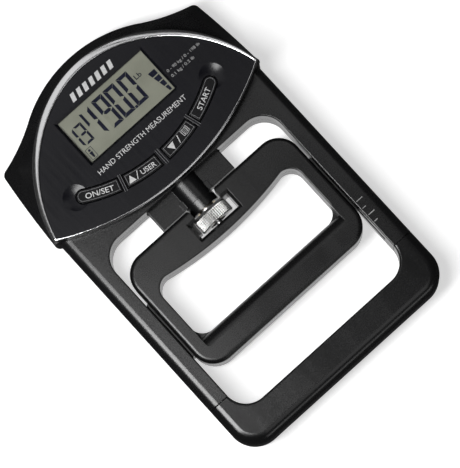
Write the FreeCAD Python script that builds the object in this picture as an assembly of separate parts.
import FreeCAD, Part
import math
import os

# Electronic hand dynamometer, in millimetres.
#
# The object lies on its back. +Z points out of the display, +Y runs along the object from the
# palm bar to the head, and +X is to the right of someone who reads the display. The origin is
# the centre of the footprint, on the surface that the back rests on.
#
# A closed frame carries the palm bar at its foot and the electronic head at its top. Inside the
# frame's window hangs the finger grip. Its thumbwheel turns a lead screw in a brass nut, which
# moves the grip along the rails. The nut sits in a guide block, and two bolts hang that block
# from the middle of a load-cell beam, whose ends are bolted to a steel strap inside the frame.

V = FreeCAD.Vector

# ---------------------------------------------------------------- overall
total_length = 194.0
head_width = 127.0
total_thickness = 29.0

# ---------------------------------------------------------------- shells and fits
wall = 2.0                  # moulded wall
parting_z = 11.0            # plane where the front and rear shells meet
parting_gap = 0.2           # shadow line between two shells
running_gap = 0.4           # air round a piece that slides
seat_gap = 0.1              # air round a piece that is only dropped in
screw_radius = 1.4
screw_head_radius = 2.6
screw_head_height = 1.8
post_radius = 2.9           # moulded post that a screw bites into
thread_bite = 0.02          # air round a screw in its post
counterbore_depth = 3.0
head_screw_inset = 6.85     # lower head screws inside the strap's legs

# ---------------------------------------------------------------- frame
frame_width = 123.0
frame_front_z = 21.0
frame_back_z = 1.0
window_width = 101.9
window_corner = 11.5
cross_member_height = 15.9
frame_edge_radius = 5.0     # long rounding at the front of the rails
frame_back_radius = 3.5
edge_break = 0.6
palm_bar_height = 16.8
palm_leg_height = 10.9      # palm bar's top to the seam with the rails
palm_outer_corner = 13.5
palm_back_z = 0.0
seam_gap = 0.35
rail_wall = 1.9

# ---------------------------------------------------------------- steel strap inside the frame
strap_thickness = 3.0
strap_width = 8.0

# ---------------------------------------------------------------- head
head_height = 62.5          # from the head's floor to its crown
crown_radius = 66.0
crown_half_angle = 29.5     # degrees, where the crown turns into the wings
wing_tip_half = 59.6
wing_tip_drop = 20.3        # below the crown
wing_hollow = 1.2           # depth of the hollow between crown and wing tip
head_floor_gap = 0.0
skirt_over_bay = 1.8        # top of the head's upright side wall above the battery bay
crease_z = 22.5             # crease along the wings, partway up the slope
plateau_z = 25.0            # level of the sloping shoulder's inner edge
crease_tip_half = 52.0
crease_tip_drop = 23.5
shoulder_margin = 0.7       # ledge between the slope and the raised panel
back_bevel = 1.8            # the back edge comes in by this
back_bevel_z = 3.5
tip_soft = 2.2              # how far the wing tips are rounded off
corner_soft = 3.0           # and the lower corners
corner_flare = 0.12         # the lower corners' width before they are rounded off
side_belly = 0.5            # the sides' slight outward curve

# ---------------------------------------------------------------- front panel and trim
panel_drop = 6.1            # panel's top edge below the crown
panel_side_gap = 1.2        # panel's corner inside the head's side
panel_crown_radius = 52.0
panel_crown_angle = 17.5
panel_corner_rise = 0.8     # panel's corners above the head's floor
panel_sag = 16.5            # lower edge's belly below its corners
panel_corner_soft = 1.0
panel_seat_z = 27.0
panel_top_z = 28.4
trim_top_width = 3.6
trim_edge_width = 0.95
trim_chamfer = 0.5
dish_radius = 6.2
dish_depth = 0.9

# ---------------------------------------------------------------- display
lcd_width = 51.2
lcd_height = 23.8
lcd_centre_drop = 33.65     # below the crown
lcd_bevel = 1.2
lcd_border = 2.4            # glass hidden under the panel's edge
lcd_thickness = 2.0
lcd_face_z = 26.0
lens_thickness = 0.8
lens_gap = 0.25

# ---------------------------------------------------------------- keys
key_arc_radius = 77.0
key_arc_rise = 12.8         # key row's lowest point above the panel's lowest point
key_height = 6.6
key_gap = 0.35
key_inner_angles = (1.4, 15.3)
key_outer_angles = (17.1, 30.4)
key_proud = 0.35            # above the panel
key_travel = 0.5
key_flange = 0.8
key_flange_thickness = 1.0
dome_radius = 2.4
dome_height = 0.6
dome_gap = 0.1
key_board_thickness = 1.0

# ---------------------------------------------------------------- circuit board
board_width = 60.0
board_height = 36.4
board_below_lcd = 6.5       # board's lower edge below the display opening
board_over_bay = 3.8        # board's underside above the battery bay
board_thickness = 1.6
board_post_radius = 1.8
board_screw_radius = 1.0
board_screw_head = 1.8

# ---------------------------------------------------------------- batteries, two AAA side by side
cell_radius = 5.2
cell_length = 44.5
cell_gap = 1.0              # between the two cells
bay_wall = 1.2
door_thickness = 1.6
door_inset = 0.4
contact_thickness = 0.4

# ---------------------------------------------------------------- load cell
beam_height = 11.0
beam_depth = 10.0
beam_clear = 8.4            # beam's lower face above the head's floor
beam_relief_radius = 3.4
beam_relief_offset = 27.0
beam_screw_radius = 2.0
gauge_length = 7.0
gauge_width = 4.0
gauge_thickness = 0.3

# ---------------------------------------------------------------- guide block and lead screw
axis_z = parting_z          # the screw's axis
block_width = 44.0
block_depth = 7.0
block_drop = 11.0           # block's foot below the window's top
boss_radius = 7.6
ear_reach = 8.6             # ears beside the boss
ear_height = 4.3
ear_depth = 8.0
nozzle_height = 5.0
nozzle_top_radius = 7.5
nozzle_tip_radius = 7.3
nut_radius = 5.4
nut_length = 10.0
screw_diameter = 8.0
thread_clearance = 0.05
screw_reach = 34.0          # above the thumbwheel
screw_pitch = 2.0
hanger_bolt_radius = 2.0
hanger_bolt_offset = 14.0
hanger_head_height = 2.4

# ---------------------------------------------------------------- thumbwheel
wheel_radius = 9.0
wheel_height = 6.1
wheel_flutes = 54
flute_depth = 0.3
wheel_recess_radius = 3.3
wheel_recess_depth = 1.8
wheel_side_room = 2.2       # each side of the wheel in its slot
wheel_slot_height = 8.1
wheel_slot_drop = 2.1       # slot's top below the nozzle's tip
wheel_slot_bevel = 1.4
plate_thickness = 1.0
plate_gap = 0.1
plate_lug_reach = 5.6       # lug that hangs beside the wheel
plate_lug_width = 1.75
pivot_radius = 1.7
pivot_length = 5.6
bush_radius = 3.0
bush_length = 2.4

# ---------------------------------------------------------------- finger grip
grip_side_gap = 1.25        # each side of the grip, inside the window
grip_height = 63.2
grip_gap_to_block = 1.1
grip_front_z = 20.0
grip_back_z = 2.0
grip_corner = 11.5
grip_edge_radius = 2.2
grip_leg = 7.2
grip_opening_height = 28.6
grip_opening_bow = 3.5      # the top bar's belly
grip_opening_corner = 7.0
finger_bar_height = 15.4
finger_round = 6.0          # rounding where the fingers pull
finger_end_radius = 2.5
notch_gap = 0.25             # air each side of the nozzle
notch_mouth_radius = 1.5
finger_core_radius = 3.0
grip_wall = 1.7
grip_travel = 17.5
shoe_length = 32.0
shoe_from_top = 19.5
shoe_depth = 13.0
tongue_width = 5.6
tongue_reach = 1.7

# ---------------------------------------------------------------- worked out
y_top = total_length / 2
y_bottom = -total_length / 2
head_half = head_width / 2
frame_half = frame_width / 2
window_half = window_width / 2
head_floor = y_top - head_height
frame_top = head_floor - head_floor_gap
window_top = frame_top - cross_member_height
palm_top = y_bottom + palm_bar_height
seam_y = palm_top + palm_leg_height
rail_wide = frame_half - window_half
strap_x = window_half + rail_wall + 1.0          # inner face of the strap's legs
strap_bottom = y_bottom + rail_wall + 1.6
beam_y = head_floor + beam_clear
strap_top = beam_y + beam_height
panel_top = y_top - panel_drop
panel_half = head_half - panel_side_gap
panel_corner_y = head_floor + panel_corner_rise
panel_low = panel_corner_y - panel_sag
lcd_y = y_top - lcd_centre_drop
key_centre_y = panel_low + key_arc_rise + key_arc_radius
key_top_z = panel_top_z + key_proud
shell_inner_z = panel_seat_z - wall
board_low = lcd_y - lcd_height / 2 - board_below_lcd
block_foot = window_top - block_drop
block_top = beam_y
grip_top = block_foot - grip_gap_to_block
grip_bottom = grip_top - grip_height
grip_half = window_half - grip_side_gap
opening_low = grip_bottom + finger_bar_height
opening_high = opening_low + grip_opening_height + grip_opening_bow
opening_half = grip_half - grip_leg
nozzle_end = block_foot - nozzle_height
slot_half = wheel_radius + wheel_side_room
slot_top = nozzle_end - wheel_slot_drop
slot_bottom = slot_top - wheel_slot_height
wheel_top = slot_top - running_gap / 2
plate_low = wheel_top + plate_gap
wheel_bottom = wheel_top - wheel_height
cell_pitch = 2 * cell_radius + cell_gap
bay_x = cell_length / 2 + 2.6
bay_half = cell_pitch / 2 + cell_radius + 0.8
bay_y = strap_top + hanger_head_height + 1.3 + bay_wall + bay_half
cell_z = wall + cell_radius + 0.3
bay_top_z = cell_z + cell_radius + 0.3
board_z = bay_top_z + bay_wall + board_over_bay
skirt_z = bay_top_z + bay_wall + skirt_over_bay


# ================================================================ helpers
def line(a, b):
    return Part.LineSegment(V(a[0], a[1], 0), V(b[0], b[1], 0)).toShape()


def arc(a, mid, b):
    return Part.Arc(V(a[0], a[1], 0), V(mid[0], mid[1], 0), V(b[0], b[1], 0)).toShape()


def wire(edges):
    return Part.Wire(Part.__sortEdges__(edges))


def prism(outline, z_low, z_high):
    """A flat outline raised from z_low to z_high."""
    face = Part.Face(outline)
    face.translate(V(0, 0, z_low))
    return face.extrude(V(0, 0, z_high - z_low))


def box(x_low, x_high, y_low, y_high, z_low, z_high):
    return Part.makeBox(x_high - x_low, y_high - y_low, z_high - z_low, V(x_low, y_low, z_low))


def rod(x, y, z, radius, length, direction):
    return Part.makeCylinder(radius, length, V(x, y, z), V(*direction))


def mirrored(shape):
    return shape.mirror(V(0, 0, 0), V(1, 0, 0))


def pair(shape):
    """A piece and its twin on the other side."""
    return [shape, mirrored(shape)]


def fused(shapes):
    result = shapes[0].multiFuse(shapes[1:]) if len(shapes) > 1 else shapes[0]
    return result.removeSplitter()


def less(shape, *tools):
    return shape.cut(flat(tools))


def flat(item):
    return [t for part in item for t in flat(part)] if isinstance(item, (list, tuple)) else [item]


def rounded_rectangle(half_x, y_low, y_high, low_corner, high_corner):
    """A rectangle about X = 0 whose lower and upper corners have their own radii."""
    a, b = low_corner, high_corner
    c = 1 - math.sqrt(0.5)
    right = [
        arc((half_x - a, y_low), (half_x - a * c, y_low + a * c), (half_x, y_low + a)),
        line((half_x, y_low + a), (half_x, y_high - b)),
        arc((half_x, y_high - b), (half_x - b * c, y_high - b * c), (half_x - b, y_high)),
    ]
    across = [
        line((-half_x + b, y_high), (half_x - b, y_high)),
        line((-half_x + a, y_low), (half_x - a, y_low)),
    ]
    return wire(right + [mirrored(edge) for edge in right] + across)


def edges_where(shape, test):
    """The edges whose middle point and bounding box pass the test."""
    found = []
    for edge in shape.Edges:
        middle = edge.valueAt((edge.FirstParameter + edge.LastParameter) / 2)
        if test(middle, edge.BoundBox):
            found.append(edge)
    return found


def flat_at(box_of_edge, z):
    return abs(box_of_edge.ZMin - z) < 1e-4 and abs(box_of_edge.ZMax - z) < 1e-4


# ================================================================ outlines
def on_arc(centre, point, degrees):
    """The point turned about the centre."""
    turn = math.radians(degrees)
    x, y = point[0] - centre[0], point[1] - centre[1]
    return (centre[0] + x * math.cos(turn) - y * math.sin(turn),
            centre[1] + x * math.sin(turn) + y * math.cos(turn))


def side_between(a, b, bow, cut_a, cut_b):
    """A side from a to b that bulges out by bow, shortened at each end. Runs clockwise."""
    reach = math.hypot(b[0] - a[0], b[1] - a[1])
    along = ((b[0] - a[0]) / reach, (b[1] - a[1]) / reach)
    if abs(bow) < 1e-6:
        start = (a[0] + along[0] * cut_a, a[1] + along[1] * cut_a)
        end = (b[0] - along[0] * cut_b, b[1] - along[1] * cut_b)
        return start, end, line(start, end)
    outward = (-along[1], along[0])
    radius = (reach * reach / 4 + bow * bow) / (2 * bow)
    centre = ((a[0] + b[0]) / 2 + outward[0] * (bow - radius),
              (a[1] + b[1]) / 2 + outward[1] * (bow - radius))
    start = on_arc(centre, a, -math.degrees(cut_a / radius))
    end = on_arc(centre, b, math.degrees(cut_b / radius))
    sweep = 2 * math.degrees(math.asin(reach / 2 / radius))
    middle = on_arc(centre, a, -sweep / 2)
    return start, end, arc(start, middle, end)


def corner_between(a, corner, b):
    """A round corner that touches both sides at a and b."""
    to_a = V(a[0] - corner[0], a[1] - corner[1], 0)
    to_b = V(b[0] - corner[0], b[1] - corner[1], 0)
    half = to_a.getAngle(to_b) / 2
    inward = (to_a.normalize() + to_b.normalize()).normalize()
    reach = math.hypot(a[0] - corner[0], a[1] - corner[1]) * (1 - math.sin(half)) / math.cos(half)
    return arc(a, (corner[0] + inward.x * reach, corner[1] + inward.y * reach), b)


def loop(stations):
    """Closed edges through stations of (x, y, corner cut, bulge of the side that follows).

    The stations run clockwise, and every edge list from stations of the same form has the
    same number of edges in the same order.
    """
    sides = []
    for here, there in zip(stations, stations[1:] + stations[:1]):
        sides.append(side_between(here[:2], there[:2], here[3], here[2], there[2]))
    edges = []
    for i, station in enumerate(stations):
        if station[2]:
            edges.append(corner_between(sides[i - 1][1], station[:2], sides[i][0]))
        edges.append(sides[i][2])
    return edges


def head_stations(level, inset=0.0):
    """The head's outline at one of its levels: back, side, crease or plateau."""
    swing = math.radians(crown_half_angle)
    taken = inset + (back_bevel if level == "back" else 0.0)
    radius = crown_radius - taken
    crown = (radius * math.sin(swing), y_top - crown_radius + radius * math.cos(swing))
    bulge = radius * (1 - math.cos(swing))
    tip = (wing_tip_half - 0.94 * taken, y_top - wing_tip_drop - 0.69 * taken)
    foot = (head_half + corner_flare - taken, head_floor + inset)
    hollow = wing_hollow
    side_bulge = side_belly
    if level in ("crease", "plateau"):
        share = (crease_z - skirt_z) / (plateau_z - skirt_z) if level == "crease" else 1.0
        inner = panel_stations(inset - shoulder_margin)
        crown = blend(crown, inner[1], share)
        bulge += share * (inner[0][3] - bulge)
        foot = blend(foot, (inner[3][0], foot[1]), share)
        if level == "crease":
            tip = (crease_tip_half - 0.94 * inset, y_top - crease_tip_drop - 0.69 * inset)
            hollow = 0.15
            side_bulge = 2 * side_belly
        else:
            tip = inner[2][:2]
            hollow = -inner[1][3]
            side_bulge = inner[2][3]
    soft = (tip_soft, corner_soft) if level in ("back", "side") else (0.6, 1.2)
    return [
        (-crown[0], crown[1], 0, bulge),
        (crown[0], crown[1], 0, -hollow),
        (tip[0], tip[1], soft[0], side_bulge),
        (foot[0], foot[1], soft[1], 0),
        (-foot[0], foot[1], soft[1], side_bulge),
        (-tip[0], tip[1], soft[0], -hollow),
    ]


def blend(a, b, share):
    return (a[0] + (b[0] - a[0]) * share, a[1] + (b[1] - a[1]) * share)


def panel_stations(top_inset=0.0, side_inset=None):
    """The front panel's outline, brought in by top_inset at the crown, side_inset elsewhere."""
    side_inset = top_inset if side_inset is None else side_inset
    top = panel_top - top_inset
    corner = (panel_half - 1.3 * side_inset, panel_corner_y + 0.4 * side_inset)
    swing = math.radians(panel_crown_angle)
    radius = panel_crown_radius - top_inset
    centre = (0, top - radius)
    turn = (radius * math.sin(swing), centre[1] + radius * math.cos(swing))
    # the side arc leaves the crown arc along its tangent and ends at the corner
    reach = (corner[0] - turn[0], corner[1] - turn[1])
    inward = -(reach[0] * math.sin(swing) + reach[1] * math.cos(swing))
    side_radius = (reach[0] ** 2 + reach[1] ** 2) / (2 * inward)
    side_centre = (turn[0] - side_radius * math.sin(swing), turn[1] - side_radius * math.cos(swing))
    sweep = 2 * math.asin(math.hypot(*reach) / 2 / side_radius)
    first = 0.52 * sweep
    middle = on_arc(side_centre, turn, -math.degrees(first))
    bulges = [side_radius * (1 - math.cos(part / 2)) for part in (first, sweep - first)]
    belly = corner[1] - (panel_low + side_inset)
    return [
        (-turn[0], turn[1], 0, radius * (1 - math.cos(swing))),
        (turn[0], turn[1], 0, bulges[0]),
        (middle[0], middle[1], 0, bulges[1]),
        (corner[0], corner[1], panel_corner_soft, belly),
        (-corner[0], corner[1], panel_corner_soft, bulges[1]),
        (-middle[0], middle[1], 0, bulges[0]),
    ]


def panel_outline(top_inset=0.0, side_inset=0.0):
    return wire(loop(panel_stations(top_inset, side_inset)))


def head_outline(level="side", inset=0.0):
    return wire(loop(head_stations(level, inset)))


def raised(outline, z):
    outline.translate(V(0, 0, z))
    return outline


def key_outline(first, last, grow, round_end):
    """A key between two angles of the key row, grown by grow all round."""
    inner = key_arc_radius - key_height / 2 - grow
    outer = key_arc_radius + key_height / 2 + grow
    swell = math.degrees(grow / key_arc_radius)
    a, b = first - swell, last + (0 if round_end else swell)

    def at(radius, degrees):
        turn = math.radians(degrees)
        return (radius * math.sin(turn), key_centre_y - radius * math.cos(turn))

    middle = (a + b) / 2
    edges = [
        arc(at(inner, a), at(inner, middle), at(inner, b)),
        arc(at(outer, a), at(outer, middle), at(outer, b)),
        line(at(inner, a), at(outer, a)),
    ]
    if round_end:
        tip = b + math.degrees((key_height / 2 + grow) / key_arc_radius)
        edges.append(arc(at(inner, b), at(key_arc_radius, tip), at(outer, b)))
    else:
        edges.append(line(at(inner, b), at(outer, b)))
    return wire(edges)


# ================================================================ screws
def post(x, y, z_low, z_high):
    return rod(x, y, z_low, post_radius, z_high - z_low, (0, 0, 1))


def screw_hole(x, y, z_low, z_high):
    return rod(x, y, z_low, screw_radius + thread_bite, z_high - z_low, (0, 0, 1))


def screw_entry(x, y, back_z):
    """The counterbore for a screw put in from the back, and the clear hole under its head."""
    head = rod(x, y, back_z - 1, screw_head_radius + 0.3, counterbore_depth + 1, (0, 0, 1))
    clear = rod(x, y, back_z, screw_radius + 0.2, parting_z - back_z + 1, (0, 0, 1))
    return [head, clear]


def screw(x, y, back_z, length):
    """A pan-head screw with a cross recess, its head on the counterbore's floor."""
    seat = back_z + counterbore_depth
    head = rod(x, y, seat - screw_head_height, screw_head_radius, screw_head_height, (0, 0, 1))
    rim = edges_where(head, lambda m, b: flat_at(b, seat - screw_head_height))
    head = head.makeFillet(0.8, rim)
    shank = rod(x, y, seat, screw_radius, length, (0, 0, 1))
    low = seat - screw_head_height - 0.1
    half, thin, deep = 1.5, 0.3, 1.2
    cross = [
        box(x - half, x + half, y - thin, y + thin, low, low + deep),
        box(x - thin, x + thin, y - half, y + half, low, low + deep),
    ]
    return less(fused([head, shank]), cross)


head_screw_places = [(strap_x - head_screw_inset, head_floor + 4.2), (34.0, y_top - 22.0)]
board_screw_places = [(27.0, board_low + 1.9), (27.0, board_low + board_height - 1.9)]
frame_screw_places = [(36.0, (window_top + frame_top) / 2)]
palm_screw_places = [(34.0, palm_top - 4.6)]
grip_screw_places = [(grip_half - 6.2, grip_top - 6.2), (grip_half - 6.2, grip_bottom + 6.4)]


# ================================================================ frame
def frame_window(depth_low, depth_high):
    """The opening between the rails, running on past the seam into the palm bar."""
    outline = rounded_rectangle(window_half, palm_top, window_top, window_corner, window_corner)
    return prism(outline, depth_low, depth_high)


def guide_passage():
    """The way through the cross member for the guide block and its round boss."""
    low, high = window_top - 1, frame_top + 1
    half_depth = block_depth / 2 + running_gap
    half_width = block_width / 2 + running_gap
    slot = box(-half_width, half_width, low, high, axis_z - half_depth, axis_z + half_depth)
    return [slot, rod(0, low, axis_z, boss_radius + running_gap, high - low, (0, 1, 0))]


def strap_channel():
    """Room for the strap's legs in the rails."""
    low, high = seam_y - 1, frame_top + 1
    x = strap_x
    return pair(box(x - 0.3, x + strap_thickness + 0.3, low, high,
                    axis_z - strap_width / 2 - 0.5, axis_z + strap_width / 2 + 0.5))


def tongue_groove():
    """Where the grip's sliding tongues run in the rails."""
    shoe_top = grip_top - shoe_from_top
    low = shoe_top - shoe_length - grip_travel - 2 * running_gap
    return pair(box(window_half - 1, window_half + tongue_reach + running_gap, low,
                    shoe_top + 2 * running_gap, axis_z - tongue_width / 2 - running_gap / 2,
                    axis_z + tongue_width / 2 + running_gap / 2))


def cross_member_pockets(z_low, z_high):
    """Lightening pockets either side of the guide passage."""
    low, high = window_top + wall, frame_top - wall
    inner = block_width / 2 + running_gap + wall
    outer = window_half - 1.0
    return pair(box(inner, outer, low, high, z_low, z_high))


def frame_front_shell():
    z_low, z_high = parting_z + parting_gap / 2, frame_front_z
    body = box(-frame_half, frame_half, seam_y + seam_gap / 2, frame_top, z_low, z_high)
    long_edges = edges_where(
        body, lambda m, b: flat_at(b, z_high) and abs(abs(m.x) - frame_half) < 1e-4)
    body = body.makeFillet(frame_edge_radius, long_edges)
    body = less(body, frame_window(z_low - 1, z_high + 1))
    rim = edges_where(body, lambda m, b: flat_at(b, z_high) and abs(m.x) < window_half + 1e-3
                      and m.y < frame_top - 1)
    body = body.makeFillet(edge_break, rim)
    body = less(body, guide_passage(), strap_channel(), tongue_groove(),
                cross_member_pockets(z_low - 1, z_high - wall))
    posts = [p for x, y in frame_screw_places for p in pair(post(x, y, z_low, z_high - wall))]
    holes = [h for x, y in frame_screw_places for h in pair(screw_hole(x, y, z_low - 1, 18.0))]
    return less(fused([body] + posts), holes)


def frame_rear_shell():
    z_low, z_high = frame_back_z, parting_z - parting_gap / 2
    body = box(-frame_half, frame_half, seam_y + seam_gap / 2, frame_top, z_low, z_high)
    long_edges = edges_where(
        body, lambda m, b: flat_at(b, z_low) and abs(abs(m.x) - frame_half) < 1e-4)
    body = body.makeFillet(frame_back_radius, long_edges)
    body = less(body, frame_window(z_low - 1, z_high + 1))
    rim = edges_where(body, lambda m, b: flat_at(b, z_low) and abs(m.x) < window_half + 1e-3
                      and m.y < frame_top - 1)
    body = body.makeFillet(edge_break, rim)
    body = less(body, guide_passage(), strap_channel(), tongue_groove(),
                cross_member_pockets(z_low + wall, z_high + 1))
    posts = []
    entries = []
    for x, y in frame_screw_places:
        posts += pair(rod(x, y, z_low + wall, screw_head_radius + 1.4, z_high - z_low - wall, (0, 0, 1)))
        for sign in (1, -1):
            entries += screw_entry(sign * x, y, z_low)
    return less(fused([body] + posts), entries)


def palm_solid(z_low, z_high, low_round, high_round):
    """The U-shaped palm bar between two levels, with its long edges rounded."""
    outer = rounded_rectangle(frame_half, y_bottom, seam_y + 30, palm_outer_corner, 1.0)
    body = prism(outer, z_low, z_high)
    body = less(body, box(-frame_half - 1, frame_half + 1, seam_y - seam_gap / 2, seam_y + 40,
                          z_low - 1, z_high + 1))
    for level, radius in ((z_low, low_round), (z_high, high_round)):
        if radius:
            rim = edges_where(body, lambda m, b: flat_at(b, level)
                              and m.y < seam_y - seam_gap / 2 - 1e-3)
            body = body.makeFillet(radius, rim)
    body = less(body, frame_window(z_low - 1, z_high + 1))
    for level, radius in ((z_low, low_round), (z_high, high_round)):
        if radius:
            rim = edges_where(body, lambda m, b: flat_at(b, level)
                              and abs(m.x) < window_half + 1e-3
                              and m.y > palm_top - 1e-3 and m.y < seam_y - seam_gap / 2 - 1e-3)
            body = body.makeFillet(2 * edge_break, rim)
    return body


def strap_cavity(z_low, z_high):
    """Room for the strap in the palm bar, with a wall left all round."""
    x = strap_x + strap_thickness + 0.3
    low = strap_bottom - 0.3
    outer = rounded_rectangle(x, low, seam_y + 5, palm_outer_corner - 3.5, 1.0)
    inner = rounded_rectangle(strap_x - 0.3, strap_bottom + strap_thickness + 0.3, seam_y + 6,
                              palm_outer_corner - 6.5, 1.0)
    return less(prism(outer, z_low, z_high), prism(inner, z_low - 1, z_high + 1))


def palm_pockets(z_low, z_high):
    """Lightening pockets between the palm bar's screw posts."""
    low, high = strap_bottom + strap_thickness + wall, palm_top - wall
    outer = palm_screw_places[0][0] - post_radius - 2.0
    return pair(box(wall / 2, outer, low, high, z_low, z_high))


def palm_front_shell():
    z_low, z_high = parting_z + parting_gap / 2, frame_front_z
    body = palm_solid(z_low, z_high, 0, frame_edge_radius)
    holes = [h for x, y in palm_screw_places for h in pair(screw_hole(x, y, z_low - 1, 18.0))]
    return less(body, strap_cavity(z_low - 1, axis_z + strap_width / 2 + 0.5),
                palm_pockets(z_low - 1, z_high - wall), holes)


def palm_rear_shell():
    z_low, z_high = palm_back_z, parting_z - parting_gap / 2
    body = palm_solid(z_low, z_high, frame_edge_radius - 1, 0)
    entries = []
    for x, y in palm_screw_places:
        for sign in (1, -1):
            entries += screw_entry(sign * x, y, z_low)
    return less(body, strap_cavity(axis_z - strap_width / 2 - 0.5, z_high + 1),
                palm_pockets(z_low + wall, z_high + 1), entries)


def steel_strap():
    """One bent steel strip: down both rails and across the palm bar."""
    x = strap_x + strap_thickness
    z_low, z_high = axis_z - strap_width / 2, axis_z + strap_width / 2
    outer = rounded_rectangle(x, strap_bottom, strap_top + 10, palm_outer_corner - 3.8, 1.0)
    inner = rounded_rectangle(strap_x, strap_bottom + strap_thickness, strap_top + 11,
                              palm_outer_corner - 6.8, 1.0)
    body = less(prism(outer, z_low, z_high), prism(inner, z_low - 1, z_high + 1),
                box(-x - 1, x + 1, strap_top, strap_top + 20, z_low - 1, z_high + 1))
    holes = pair(rod(strap_x - 1, beam_y + beam_height / 2, axis_z, beam_screw_radius + 0.2,
                     strap_thickness + 2, (1, 0, 0)))
    return less(body, holes)


# ================================================================ head shells
def panel_floor_tools():
    """Openings in the head's floor for the strap, the guide block and the screw."""
    low, high = head_floor - 1, head_floor + wall + 1
    half_depth = block_depth / 2 + running_gap
    half_width = block_width / 2 + running_gap
    x = strap_x
    return [
        box(-half_width, half_width, low, high, axis_z - half_depth, axis_z + half_depth),
        rod(0, low, axis_z, boss_radius + running_gap, high - low, (0, 1, 0)),
    ] + pair(box(x - 0.3, x + strap_thickness + 0.3, low, high,
                 axis_z - strap_width / 2 - 0.5, axis_z + strap_width / 2 + 0.5))


def key_slots(grow, z_low, z_high):
    """The four key openings, grown by grow."""
    slots = []
    for angles, ends_round in ((key_inner_angles, False), (key_outer_angles, True)):
        slots += pair(prism(key_outline(angles[0], angles[1], grow, ends_round), z_low, z_high))
    return slots


def head_front_shell():
    z_low = parting_z + parting_gap / 2
    skirt = prism(head_outline(), z_low, skirt_z)
    levels = (("side", skirt_z), ("crease", crease_z), ("plateau", plateau_z))
    shoulder = Part.makeLoft([raised(head_outline(name), z) for name, z in levels], True, True)
    visor = prism(panel_outline(), frame_front_z + parting_gap, panel_seat_z)
    body = fused([skirt, shoulder, visor])
    hollow = [
        prism(head_outline("side", wall), z_low - 1, skirt_z),
        prism(head_outline("crease", wall), skirt_z - 0.1, crease_z - 0.5),
        prism(panel_outline(2 * wall, wall), frame_front_z - 1, shell_inner_z),
    ]
    lcd_hole = box(-lcd_width / 2, lcd_width / 2, lcd_y - lcd_height / 2, lcd_y + lcd_height / 2,
                   shell_inner_z - 1, panel_seat_z + 1)
    lcd_seat = box(-lcd_width / 2 - lcd_border, lcd_width / 2 + lcd_border,
                   lcd_y - lcd_height / 2 - lcd_border, lcd_y + lcd_height / 2 + lcd_border,
                   shell_inner_z - 1, lcd_face_z + seat_gap)
    body = less(body, hollow, lcd_hole, lcd_seat, panel_floor_tools(),
                key_slots(key_gap, shell_inner_z - 1, panel_seat_z + 1))
    posts = [p for x, y in head_screw_places for p in pair(post(x, y, z_low, shell_inner_z - 1.0))]
    holes = [h for x, y in head_screw_places for h in pair(screw_hole(x, y, z_low - 1, 20.0))]
    board_top = board_z + board_thickness
    for x, y in board_screw_places:
        posts += pair(rod(x, y, board_top, board_post_radius, shell_inner_z - board_top, (0, 0, 1)))
        holes += pair(rod(x, y, board_top - 1, board_screw_radius + thread_bite, 4.2, (0, 0, 1)))
    return less(fused([body] + posts), holes)


def bay_outline_box(grow, z_low, z_high):
    return box(-bay_x - grow, bay_x + grow, bay_y - bay_half - grow, bay_y + bay_half + grow, z_low, z_high)


def head_rear_shell():
    z_high = parting_z - parting_gap / 2
    levels = (("back", 0), ("side", back_bevel_z))
    bevel = Part.makeLoft([raised(head_outline(name), z) for name, z in levels], True, True)
    body = fused([bevel, prism(head_outline(), back_bevel_z, z_high)])
    hollow = [
        prism(head_outline("back", wall), wall, z_high + 1),
        prism(head_outline("side", wall), back_bevel_z + 0.5, z_high + 1),
    ]
    body = less(body, hollow, panel_floor_tools())
    bay = bay_outline_box(bay_wall, wall, bay_top_z + bay_wall)
    posts = [p for x, y in head_screw_places
             for p in pair(rod(x, y, wall, screw_head_radius + 1.4, z_high - wall, (0, 0, 1)))]
    body = fused([body, bay] + posts)
    entries = []
    for x, y in head_screw_places:
        for sign in (1, -1):
            entries += screw_entry(sign * x, y, 0)
    door_cut = bay_outline_box(-0.8, -1, wall + 1)
    door_ledge = bay_outline_box(0.9, -1, door_inset + door_thickness)
    return less(body, bay_outline_box(0, wall, bay_top_z), door_cut, door_ledge, entries)


def battery_door():
    """A flush lid with a thumb notch, four pads that locate it in the bay, and a snap lug."""
    gap = 0.9 - 0.15
    plate = bay_outline_box(gap, door_inset, door_inset + door_thickness)
    corners = edges_where(plate, lambda m, b: b.ZMax - b.ZMin > 1)
    plate = plate.makeFillet(1.0, corners)
    pads = []
    for x in (-bay_x * 0.6, bay_x * 0.6):
        for y in (bay_y - bay_half + 1.6, bay_y + bay_half - 1.6):
            pads.append(box(x - 4, x + 4, y - 0.6, y + 0.6, door_inset + door_thickness - 0.2,
                            door_inset + door_thickness + 1.4))
    ridges = [box(-7, 7, bay_y + bay_half - 4 - 1.4 * i, bay_y + bay_half - 3.4 - 1.4 * i,
                  door_inset - 1, door_inset + 0.4) for i in range(4)]
    return less(fused([plate] + pads), ridges)


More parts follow.
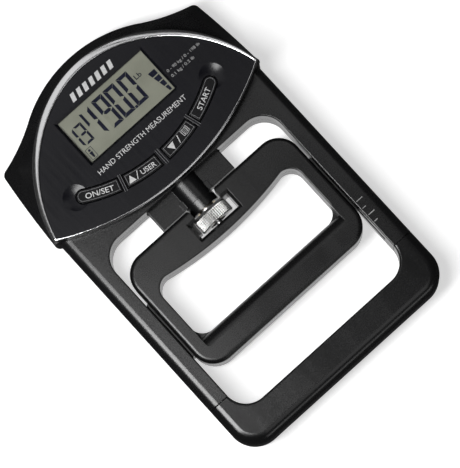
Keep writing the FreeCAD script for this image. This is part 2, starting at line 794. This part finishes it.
# ================================================================ panel, trim and display
def front_panel():
    outline = panel_outline(trim_top_width + seat_gap, trim_edge_width + seat_gap)
    plate = prism(outline, panel_seat_z, panel_top_z)
    width, height = lcd_width / 2, lcd_height / 2
    hole = box(-width, width, lcd_y - height, lcd_y + height, panel_seat_z - 1, panel_top_z + 1)
    low = Part.makePolygon([V(x, y, panel_top_z - lcd_bevel) for x, y in (
        (-width, lcd_y - height), (width, lcd_y - height), (width, lcd_y + height),
        (-width, lcd_y + height), (-width, lcd_y - height))])
    grown_x, grown_y = width + lcd_bevel, height + lcd_bevel
    high = Part.makePolygon([V(x, y, panel_top_z) for x, y in (
        (-grown_x, lcd_y - grown_y), (grown_x, lcd_y - grown_y), (grown_x, lcd_y + grown_y),
        (-grown_x, lcd_y + grown_y), (-grown_x, lcd_y - grown_y))])
    bevel = Part.makeLoft([low, high], True, True)
    sphere_radius = (dish_radius ** 2 + dish_depth ** 2) / (2 * dish_depth)
    tip = key_outer_angles[1] + math.degrees(key_height / 2 / key_arc_radius)
    turn = math.radians(tip)
    dish = Part.makeSphere(sphere_radius, V(key_arc_radius * math.sin(turn),
                                            key_centre_y - key_arc_radius * math.cos(turn),
                                            panel_top_z - dish_depth + sphere_radius))
    return less(plate, hole, bevel, pair(dish), key_slots(key_gap, panel_seat_z - 1, panel_top_z + 1))


def trim_ring():
    """Bright ring round the panel: a crescent over the top, a thin line below."""
    outer = prism(panel_outline(), panel_seat_z, total_thickness)
    rim = edges_where(outer, lambda m, b: flat_at(b, total_thickness))
    outer = outer.makeChamfer(trim_chamfer, rim)
    inner = prism(panel_outline(trim_top_width, trim_edge_width), panel_seat_z - 1, total_thickness + 1)
    return less(outer, inner)


def display_lens():
    """Clear window over the display, set in the panel's opening."""
    gap = seat_gap
    low = lcd_face_z + lens_gap + 0.2
    return box(-lcd_width / 2 + gap, lcd_width / 2 - gap, lcd_y - lcd_height / 2 + gap,
               lcd_y + lcd_height / 2 - gap, low, low + lens_thickness)


def lcd_panel():
    grow = lcd_border - seat_gap
    return box(-lcd_width / 2 - grow, lcd_width / 2 + grow, lcd_y - lcd_height / 2 - grow,
               lcd_y + lcd_height / 2 + grow, lcd_face_z - lcd_thickness, lcd_face_z)


def lcd_bracket():
    """Tray between the board and the display."""
    grow = lcd_border - seat_gap
    half_x, half_y = lcd_width / 2 + grow, lcd_height / 2 + grow
    low, high = board_z + board_thickness, lcd_face_z - lcd_thickness
    outer = box(-half_x, half_x, lcd_y - half_y, lcd_y + half_y, low, high)
    inner = box(-half_x + 5, half_x - 5, lcd_y - half_y + 1.4, lcd_y + half_y - 1.4, low - 1, high + 1)
    return less(outer, inner)


def contact_strips():
    """Rubber strips that join the display to the board."""
    low, high = board_z + board_thickness, lcd_face_z - lcd_thickness
    half_y = lcd_height / 2 - 1.0
    strips = []
    for y in (lcd_y - half_y, lcd_y + half_y):
        strips.append(box(-lcd_width / 2 + 4, lcd_width / 2 - 4, y - 0.9, y + 0.9, low, high))
    return strips


def main_board():
    body = box(-board_width / 2, board_width / 2, board_low, board_low + board_height,
               board_z, board_z + board_thickness)
    holes = []
    for x, y in board_screw_places:
        holes += pair(rod(x, y, board_z - 1, board_screw_radius + 0.15, board_thickness + 2, (0, 0, 1)))
    return less(body, holes)


def board_screws():
    """Small pan-head screws that hold the board to the front shell."""
    screws = []
    for x, y in board_screw_places:
        head = rod(x, y, board_z - 1.2, board_screw_head, 1.2, (0, 0, 1))
        shank = rod(x, y, board_z, board_screw_radius, board_thickness + 3.0, (0, 0, 1))
        screws += pair(fused([head, shank]))
    return screws


def board_parts():
    """Chip, connector and the larger parts under the board."""
    low, z = board_low, board_z
    return [
        box(8, 18, low + 14, low + 24, z - 1.2, z),
        box(-20, -12, low + 10, low + 15, z - 2.0, z),
        box(-10, -7, low + 20, low + 26, z - 1.5, z),
        rod(-16, low + 24, z - 3.0, 2.5, 3.0, (0, 0, 1)),
    ]


# ================================================================ keys
def key(angles, ends_round):
    """A key cap with a flange that keeps it under the shell's front wall."""
    cap = prism(key_outline(angles[0], angles[1], 0, ends_round), shell_inner_z - 0.2, key_top_z)
    rim = edges_where(cap, lambda m, b: flat_at(b, key_top_z))
    cap = cap.makeChamfer(0.35, rim)
    top = shell_inner_z - 0.2
    flange = prism(key_outline(angles[0], angles[1], key_flange - key_gap, ends_round),
                   top - key_flange_thickness, top)
    turn = math.radians((angles[0] + angles[1]) / 2)
    x, y = key_arc_radius * math.sin(turn), key_centre_y - key_arc_radius * math.cos(turn)
    return fused([cap, flange]), (x, y)


def key_stack(angles, ends_round):
    cap, place = key(angles, ends_round)
    foot_z = shell_inner_z - 0.2 - key_flange_thickness
    board_top = frame_front_z + key_board_thickness
    dome_top = board_top + dome_height
    plunger_low = dome_top + key_travel + dome_gap
    plunger = rod(place[0], place[1], plunger_low, 1.2, foot_z - plunger_low + 0.05, (0, 0, 1))
    dome = rod(place[0], place[1], board_top, dome_radius, dome_height, (0, 0, 1))
    crown = edges_where(dome, lambda m, b: flat_at(b, dome_top))
    return fused([cap, plunger]), dome.makeFillet(0.4, crown)


def key_board():
    """Thin curved board under the keys."""
    low = frame_front_z
    edge = prism(key_outline(0.0, key_outer_angles[1], 1.2, False), low, low + key_board_thickness)
    return fused(pair(edge))


def key_ribbon():
    """Flat cable from the key board up to the main board."""
    z_high = frame_front_z + key_board_thickness
    z_low = board_z + board_thickness
    y_start = key_centre_y - key_arc_radius + key_height / 2 + 0.3
    y_turn = board_low + 1.0
    thin = 0.3
    flat_run = box(-5, 5, y_start, y_turn, z_high, z_high + thin)
    drop = box(-5, 5, y_turn - thin, y_turn, z_low, z_high + thin)
    tail = box(-5, 5, y_turn, y_turn + 3, z_low, z_low + thin)
    return fused([flat_run, drop, tail])


# ================================================================ batteries
def batteries():
    cells = []
    for sign in (1, -1):
        y = bay_y + sign * cell_pitch / 2
        body = rod(-sign * cell_length / 2, y, cell_z, cell_radius, cell_length - 1.2, (sign, 0, 0))
        nub = rod(sign * (cell_length / 2 - 1.2), y, cell_z, 1.9, 1.2, (sign, 0, 0))
        cells.append(fused([body, nub]))
    return cells


def battery_contacts():
    """Four sprung steel leaves with a tail each."""
    leaves = []
    for side in (1, -1):
        for sign in (1, -1):
            y = bay_y + sign * cell_pitch / 2
            x = side * (bay_x - 0.05)
            leaf = box(min(x, x - side * contact_thickness), max(x, x - side * contact_thickness),
                       y - 3.6, y + 3.6, cell_z - 4, cell_z + 4)
            bump = rod(x - side * contact_thickness, y, cell_z, 2.0, 1.6, (-side, 0, 0))
            leaves.append(fused([leaf, bump]))
    return leaves


# ================================================================ load cell
def load_cell():
    """Aluminium beam, thinned at two places where the strain is read."""
    half = strap_x - seat_gap / 2
    y_low, y_high = beam_y, beam_y + beam_height
    z_low, z_high = axis_z - beam_depth / 2, axis_z + beam_depth / 2
    body = box(-half, half, y_low, y_high, z_low, z_high)
    middle = (y_low + y_high) / 2
    reliefs = []
    for side in (1, -1):
        for step in (-1, 1):
            x = side * beam_relief_offset + step * 4.5
            reliefs.append(rod(x, middle, z_low - 1, beam_relief_radius, beam_depth + 2, (0, 0, 1)))
        reliefs.append(box(side * beam_relief_offset - 4.5, side * beam_relief_offset + 4.5,
                           middle - 0.8, middle + 0.8, z_low - 1, z_high + 1))
    bolts = pair(rod(hanger_bolt_offset, y_low - 1, axis_z, hanger_bolt_radius + 0.2,
                     beam_height + 2, (0, 1, 0)))
    ends = pair(rod(half - 12, middle, axis_z, beam_screw_radius + thread_bite, 14, (1, 0, 0)))
    return less(body, reliefs, bolts, ends)


def load_cell_screws():
    x = strap_x + strap_thickness
    y = beam_y + beam_height / 2
    head = rod(x, y, axis_z, 3.2, 1.6, (1, 0, 0))
    shank = rod(x - 12, y, axis_z, beam_screw_radius, 12, (1, 0, 0))
    return pair(fused([head, shank]))


def strain_gauges():
    patches = []
    for side in (1, -1):
        for step in (-1, 1):
            x = side * beam_relief_offset + step * 4.5
            y = beam_y + beam_height
            patches.append(box(x - gauge_length / 2, x + gauge_length / 2, y, y + gauge_thickness,
                               axis_z - gauge_width / 2, axis_z + gauge_width / 2))
    return patches


def gauge_ribbon():
    """Flat lead from the beam's front face to the main board."""
    z_beam = axis_z + beam_depth / 2
    x_low, x_high = 2.0, 8.0
    y_low = beam_y + 3.0
    thin = 0.4
    on_beam = box(x_low, x_high, y_low, y_low + 5, z_beam, z_beam + thin)
    rise = box(x_low, x_high, y_low + 5 - thin, y_low + 5, z_beam, board_z)
    return fused([on_beam, rise])


# ================================================================ guide block and screw
def guide_block():
    """Block hung from the load cell, with the round boss that holds the nut."""
    half_width, half_depth = block_width / 2, block_depth / 2
    plate = box(-half_width, half_width, block_foot, block_top, axis_z - half_depth, axis_z + half_depth)
    edges = edges_where(plate, lambda m, b: b.YMax - b.YMin > 1 and abs(abs(m.x) - half_width) < 1e-4)
    plate = plate.makeFillet(edge_break, edges)
    boss = rod(0, block_foot, axis_z, boss_radius, block_top - block_foot, (0, 1, 0))
    ears = box(-ear_reach, ear_reach, block_foot, block_foot + ear_height,
               axis_z - ear_depth / 2, axis_z + ear_depth / 2)
    ears = ears.makeFillet(edge_break, edges_where(ears, lambda m, b: b.YMax - b.YMin < 1e-4
                                                   and abs(abs(m.x) - ear_reach) < 1e-4))
    nozzle = Part.makeCone(nozzle_tip_radius, nozzle_top_radius, nozzle_height + 1,
                           V(0, nozzle_end, axis_z), V(0, 1, 0))
    bore = rod(0, nozzle_end - 1, axis_z, screw_diameter / 2 + 0.4, 200, (0, 1, 0))
    nut_seat = rod(0, nozzle_end - 1, axis_z, nut_radius, nut_length + 1, (0, 1, 0))
    bolts = pair(rod(hanger_bolt_offset, block_top - 14, axis_z, hanger_bolt_radius + thread_bite,
                     15, (0, 1, 0)))
    return less(fused([plate, boss, ears, nozzle]), bore, nut_seat, bolts)


def screw_nut():
    body = rod(0, nozzle_end, axis_z, nut_radius - 0.01, nut_length, (0, 1, 0))
    return less(body, rod(0, nozzle_end - 1, axis_z, screw_diameter / 2 + thread_clearance,
                          nut_length + 2, (0, 1, 0)))


def hanger_bolts():
    """Two bolts through the beam into the guide block."""
    y = beam_y + beam_height
    head = rod(hanger_bolt_offset, y, axis_z, 3.6, hanger_head_height, (0, 1, 0))
    socket = rod(hanger_bolt_offset, y + 1.0, axis_z, 1.6, 3, (0, 1, 0))
    shank = rod(hanger_bolt_offset, y - beam_height - 12, axis_z, hanger_bolt_radius,
                beam_height + 12, (0, 1, 0))
    return pair(less(fused([head, shank]), socket))


def thumbwheel():
    """Knurled wheel with a recessed hub on its lower face."""
    body = rod(0, wheel_bottom, axis_z, wheel_radius, wheel_height, (0, 1, 0))
    rims = edges_where(body, lambda m, b: b.YMax - b.YMin < 1e-4)
    body = body.makeChamfer(0.5, rims)
    flutes = []
    for i in range(wheel_flutes):
        turn = 2 * math.pi * i / wheel_flutes
        reach = wheel_radius + 0.25
        flutes.append(rod(reach * math.cos(turn), wheel_bottom - 1, axis_z + reach * math.sin(turn),
                          0.25 + flute_depth, wheel_height + 2, (0, 1, 0)))
    bore = rod(0, wheel_bottom - 1, axis_z, screw_diameter / 2, wheel_height + 2, (0, 1, 0))
    recess = rod(0, wheel_bottom - 1, axis_z, wheel_recess_radius + 1.2, wheel_recess_depth + 1, (0, 1, 0))
    return less(body, flutes, bore, recess)


def lead_screw():
    """Spindle that turns with the wheel, with a plain pivot at its foot."""
    low = wheel_bottom + wheel_recess_depth
    stem = rod(0, low, axis_z, screw_diameter / 2, wheel_top - low + screw_reach, (0, 1, 0))
    tip = edges_where(stem, lambda m, b: b.YMax - b.YMin < 1e-4 and m.y > wheel_top)
    stem = stem.makeChamfer(0.8, tip)
    pivot = rod(0, low - pivot_length, axis_z, pivot_radius, pivot_length, (0, 1, 0))
    return fused([stem, pivot])


# ================================================================ finger grip
def grip_opening(grow, z_low, z_high):
    """The finger opening, with a belly in its upper edge, grown by grow."""
    r = grip_opening_corner + grow
    half = opening_half + grow
    low = opening_low - grow
    high = opening_high + grow
    belly = opening_high - grip_opening_bow + grow
    c = 1 - math.sqrt(0.5)
    corner_x, corner_y = half - r, high - r
    right = [
        arc((half - r, low), (half - r * c, low + r * c), (half, low + r)),
        line((half, low + r), (half, high - r)),
        arc((half, corner_y), (corner_x + r * (1 - c), corner_y + r * (1 - c)), (corner_x, high)),
    ]
    top = arc((-corner_x, high), (0, belly), (corner_x, high))
    base = line((-half + r, low), (half - r, low))
    return prism(wire(right + [mirrored(edge) for edge in right] + [top, base]), z_low, z_high)


def wheel_slot(z_low, z_high):
    half = slot_half
    return box(-half, half, slot_bottom, slot_top, z_low, z_high)


def slot_bevel(face_z):
    """The sloping border of the thumbwheel's slot, at one face of the grip."""
    inward = 1 if face_z < parting_z else -1
    half, step = slot_half, wheel_slot_bevel
    rings = []
    for grow, z in ((0, face_z + inward * step), (step, face_z), (2 * step, face_z - inward * step)):
        x, low, high = half + grow, slot_bottom - grow, slot_top + grow
        corners = [(-x, low), (x, low), (x, high), (-x, high), (-x, low)]
        rings.append(Part.makePolygon([V(cx, cy, z) for cx, cy in corners]))
    return Part.makeLoft([rings[0], rings[2]], True, True)


def nozzle_notch(z_low, z_high):
    """The gap in the top bar that the guide block's nozzle drops into, with a rounded mouth."""
    half = nozzle_top_radius + notch_gap
    soft = notch_mouth_radius
    flare = half + soft
    y = grip_top - soft
    c = 1 - math.sqrt(0.5)
    right = [
        line((half, slot_top - 1), (half, y)),
        arc((half, y), (half + soft * c, y + soft * (1 - c)), (flare, grip_top)),
        line((flare, grip_top), (flare, grip_top + 1)),
    ]
    across = [line((-half, slot_top - 1), (half, slot_top - 1)),
              line((-flare, grip_top + 1), (flare, grip_top + 1))]
    return prism(wire(right + [mirrored(edge) for edge in right] + across), z_low, z_high)


def grip_solid(z_low, z_high, face_z):
    """One half of the grip between two levels, with its outer face at face_z rounded."""
    outline = rounded_rectangle(grip_half, grip_bottom, grip_top, grip_corner, grip_corner)
    body = prism(outline, z_low, z_high)
    rim = edges_where(body, lambda m, b: flat_at(b, face_z))
    body = body.makeFillet(grip_edge_radius, rim)
    body = less(body, grip_opening(0, z_low - 1, z_high + 1))
    rim = edges_where(body, lambda m, b: flat_at(b, face_z) and abs(m.x) < opening_half + 1e-3
                      and opening_low - 1e-3 < m.y < opening_high + 1e-3)
    body = body.makeFillet(edge_break, rim)
    return less(body, finger_scoop(face_z), wheel_slot(z_low - 1, z_high + 1),
                slot_bevel(face_z), nozzle_notch(z_low - 1, z_high + 1))


def finger_scoop(face_z):
    """Rounds the finger bar's inner edge at one face of the grip."""
    inward = 1 if face_z < parting_z else -1
    r = finger_round
    half = opening_half
    centre = (opening_low - r, face_z + inward * r)
    outside = face_z - inward * 2
    outline = rounded_rectangle(half, opening_low - r, opening_low + grip_opening_corner + 1,
                                finger_end_radius, 0.5)
    block = prism(outline, min(outside, centre[1]), max(outside, centre[1]))
    return block.cut(rod(-half - 1, centre[0], centre[1], r, 2 * half + 2, (1, 0, 0)))


def thrust_seat():
    """Pocket above the wheel that the thrust plate's ends sit in."""
    half = slot_half + 1.2
    return box(-half, half, plate_low - plate_gap, plate_low + plate_thickness + 0.02,
               axis_z - 6.1, axis_z + 6.1)


def bush_seat():
    return rod(0, slot_bottom - bush_length, axis_z, bush_radius, bush_length + 1, (0, 1, 0))


def core_seat():
    y = (grip_bottom + opening_low) / 2
    half = grip_half - grip_leg - 0.5
    return rod(-half, y, axis_z, finger_core_radius + 0.1, 2 * half, (1, 0, 0))


def shoe_seats():
    """Shallow seats in the grip's sides for the sliding shoes."""
    top = grip_top - shoe_from_top
    return pair(box(grip_half - 1.5, grip_half + 1, top - shoe_length, top,
                    axis_z - shoe_depth / 2 + 3, axis_z + shoe_depth / 2 - 3))


def grip_pockets(z_low, z_high):
    """Lightening pockets in the top bar, left and right of the thumbwheel."""
    inner = slot_half + 1.4 + grip_wall
    outer = grip_screw_places[0][0] - post_radius - 2.2
    return pair(box(inner, outer, opening_high + grip_wall + 0.4, grip_top - grip_wall, z_low, z_high))


def grip_front_shell():
    z_low, z_high = parting_z + parting_gap / 2, grip_front_z
    body = grip_solid(z_low, z_high, z_high)
    holes = [h for x, y in grip_screw_places for h in pair(screw_hole(x, y, z_low - 1, 17.0))]
    return less(body, thrust_seat(), bush_seat(), core_seat(), shoe_seats(),
                grip_pockets(z_low - 1, z_high - wall), holes)


def grip_rear_shell():
    z_low, z_high = grip_back_z, parting_z - parting_gap / 2
    body = grip_solid(z_low, z_high, z_low)
    entries = []
    for x, y in grip_screw_places:
        for sign in (1, -1):
            entries += screw_entry(sign * x, y, z_low)
    return less(body, thrust_seat(), bush_seat(), core_seat(), shoe_seats(),
                grip_pockets(z_low + wall, z_high + 1), entries)


def thrust_plate():
    """Steel plate the wheel pushes against, with a lug bent down beside the wheel."""
    half = slot_half
    top = plate_low + plate_thickness
    body = box(-half - 1.1, half + 1.1, plate_low, top, axis_z - 6.0, axis_z + 6.0)
    lug = box(-half + 0.1, -half + 0.1 + plate_lug_width, plate_low - plate_lug_reach, top,
              axis_z - 5.0, axis_z + 4.0)
    return less(fused([body, lug]), rod(0, plate_low - 10, axis_z, screw_diameter / 2 + 0.2, 20, (0, 1, 0)))


def pivot_bush():
    body = rod(0, slot_bottom - bush_length, axis_z, bush_radius - 0.01, bush_length, (0, 1, 0))
    return less(body, rod(0, slot_bottom - 20, axis_z, pivot_radius + 0.05, 40, (0, 1, 0)))


def finger_core():
    y = (grip_bottom + opening_low) / 2
    half = grip_half - grip_leg - 0.7
    return rod(-half, y, axis_z, finger_core_radius, 2 * half, (1, 0, 0))


def slide_shoe():
    """Low-friction shoe: a pad on the grip's side and a tongue in the rail's groove."""
    top = grip_top - shoe_from_top
    low = top - shoe_length
    pad_end = window_half - running_gap
    pad = box(grip_half, pad_end, low, top, axis_z - shoe_depth / 2, axis_z + shoe_depth / 2)
    tongue = box(pad_end - 0.1, window_half + tongue_reach, low, top, axis_z - tongue_width / 2,
                 axis_z + tongue_width / 2)
    root = box(grip_half - 1.4, grip_half + 0.1, low + 0.1, top - 0.1, axis_z - shoe_depth / 2 + 3.1,
               axis_z + shoe_depth / 2 - 3.1)
    return fused([pad, tongue, root])


def screws(places, back_z, length):
    return [s for x, y in places for s in (screw(x, y, back_z, length), screw(-x, y, back_z, length))]


# ================================================================ all the nodes
def build():
    inner_right, dome_inner = key_stack(key_inner_angles, False)
    outer_right, dome_outer = key_stack(key_outer_angles, True)
    right_shoe = slide_shoe()
    return {
        "head_front_shell": head_front_shell(),
        "head_rear_shell": head_rear_shell(),
        "front_panel": front_panel(),
        "trim_ring": trim_ring(),
        "display_lens": display_lens(),
        "lcd_panel": lcd_panel(),
        "lcd_bracket": lcd_bracket(),
        "contact_strips": contact_strips(),
        "main_board": main_board(),
        "board_parts": board_parts(),
        "board_screws": board_screws(),
        "power_key": mirrored(outer_right),
        "up_key": mirrored(inner_right),
        "down_key": inner_right,
        "start_key": outer_right,
        "key_domes": pair(dome_inner) + pair(dome_outer),
        "key_board": key_board(),
        "key_ribbon": key_ribbon(),
        "batteries": batteries(),
        "battery_contacts": battery_contacts(),
        "battery_door": battery_door(),
        "head_screws": screws(head_screw_places, 0, 13.5),
        "load_cell": load_cell(),
        "load_cell_screws": load_cell_screws(),
        "strain_gauges": strain_gauges(),
        "gauge_ribbon": gauge_ribbon(),
        "steel_strap": steel_strap(),
        "frame_front_shell": frame_front_shell(),
        "frame_rear_shell": frame_rear_shell(),
        "frame_screws": screws(frame_screw_places, frame_back_z, 12.5),
        "palm_front_shell": palm_front_shell(),
        "palm_rear_shell": palm_rear_shell(),
        "palm_screws": screws(palm_screw_places, palm_back_z, 13.5),
        "guide_block": guide_block(),
        "screw_nut": screw_nut(),
        "hanger_bolts": hanger_bolts(),
        "thumbwheel": thumbwheel(),
        "lead_screw": lead_screw(),
        "grip_front_shell": grip_front_shell(),
        "grip_rear_shell": grip_rear_shell(),
        "grip_screws": screws(grip_screw_places, grip_back_z, 11.0),
        "thrust_plate": thrust_plate(),
        "pivot_bush": pivot_bush(),
        "finger_core": finger_core(),
        "slide_shoe_left": mirrored(right_shoe),
        "slide_shoe_right": right_shoe,
    }


def main():
    os.makedirs("parts", exist_ok=True)
    for name, shape in build().items():
        solids = [s for item in flat(shape) for s in item.Solids]
        body = solids[0] if len(solids) == 1 else Part.makeCompound(solids)
        bad = [s for s in solids if not s.isValid() or s.Volume <= 0]
        print(f"{name:20s} solids {len(solids):2d}  volume {sum(s.Volume for s in solids):9.1f}"
              f"{'  INVALID' if bad else ''}")
        body.exportStep(f"parts/{name}.step")


main()
